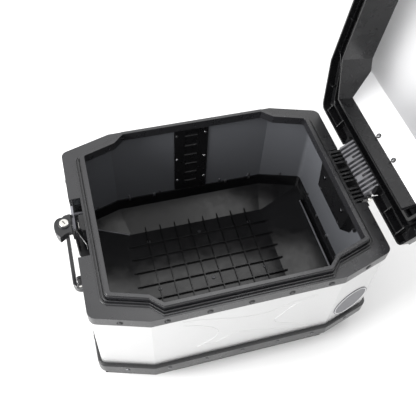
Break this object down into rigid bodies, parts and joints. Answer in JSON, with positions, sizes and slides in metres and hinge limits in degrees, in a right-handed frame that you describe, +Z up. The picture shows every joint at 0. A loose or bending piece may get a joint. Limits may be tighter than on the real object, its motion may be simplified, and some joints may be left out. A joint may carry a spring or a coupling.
{
  "type": "hard luggage case",
  "caption": "Angular aluminium-walled top case with a moulded rim, hinged lid stored open, key-locked latch lever and a folding carry handle.",
  "frame": {"origin": "middle of the base plane that the four feet stand on", "axes": "+Z up, +X along the case towards the hinge end, +Y towards the seam side"},
  "size_m": [0.618, 0.3852, 0.7364],
  "materials": {
    "black_plastic": "fine moulded texture",
    "grey_plastic": "satin moulded",
    "fin_plastic": "satin moulded",
    "sheet_metal": "satin anodised",
    "badge_metal": "brushed",
    "screw_steel": "dark zinc",
    "rivet_metal": "dull",
    "bright_steel": "bright",
    "insert_brass": "plain",
    "seal_rubber": "matt",
    "foot_rubber": "matt",
    "plate_grey": "satin",
    "handle_plastic": "semi gloss"
  },
  "bodies": {
    "case": {"base_tray": "black_plastic", "tray_clips": "rivet_metal", "body_sheet": "sheet_metal", "rim_frame": "grey_plastic", "lower_trim": "grey_plastic", "seam_strip_inner": "black_plastic", "seam_strip_outer": "black_plastic", "rim_rivets": "rivet_metal", "trim_rivets": "rivet_metal", "seam_rivets": "rivet_metal", "floor_screws": "screw_steel", "base_inserts": "insert_brass", "feet": "foot_rubber", "badge": "badge_metal", "hinge_bracket": "black_plastic", "bracket_screws": "screw_steel", "hinge_pin": "bright_steel", "pin_clips": "bright_steel", "hinge_cover": "black_plastic", "hinge_cover_screws": "screw_steel", "latch_housing": "black_plastic", "latch_plate": "plate_grey", "latch_block": "grey_plastic", "latch_spring": "bright_steel", "lever_bracket": "black_plastic", "lever_pin": "bright_steel", "handle_brackets": "black_plastic", "handle_pins": "bright_steel"},
    "lid": {"lid_frame": "grey_plastic", "lid_sheet": "sheet_metal", "lid_seal": "seal_rubber", "lid_comb": "black_plastic", "lid_fins": "fin_plastic", "lid_comb_screws": "screw_steel", "lid_screws": "screw_steel", "lid_striker": "bright_steel", "lid_striker_screws": "screw_steel"},
    "lever": {"lock_lever": "grey_plastic"},
    "barrel": {"lock_barrel": "bright_steel"},
    "bolt": {"latch_bolt": "bright_steel"},
    "handle": {"carry_handle": "handle_plastic"}
  },
  "joints": [
    {"name": "lid_hinge", "type": "hinge", "parent": "case", "child": "lid", "pos_m": [0.248, 0, 0.251], "axis": [0, 1, 0], "range_deg": [-96, 0]},
    {"name": "lever_turn", "type": "hinge", "parent": "case", "child": "lever", "pos_m": [-0.2435, 0, 0.252], "axis": [0, 1, 0], "range_deg": [-90, 0]},
    {"name": "bolt_slide", "type": "slide", "parent": "case", "child": "bolt", "axis": [-1, 0, 0], "range_m": [0, 0.0026]},
    {"name": "key_turn", "type": "hinge", "parent": "lever", "child": "barrel", "pos_m": [-0.2515, 0, 0.26], "axis": [0, 0, 1], "range_deg": [-90, 0]},
    {"name": "handle_fold", "type": "hinge", "parent": "case", "child": "handle", "pos_m": [-0.246, 0, 0.184], "axis": [0, 1, 0], "range_deg": [0, 80]}
  ],
  "couplings": [
    {"joint": "bolt_slide", "follows": "lever_turn", "m_per_rad": -0.001655}
  ]
}
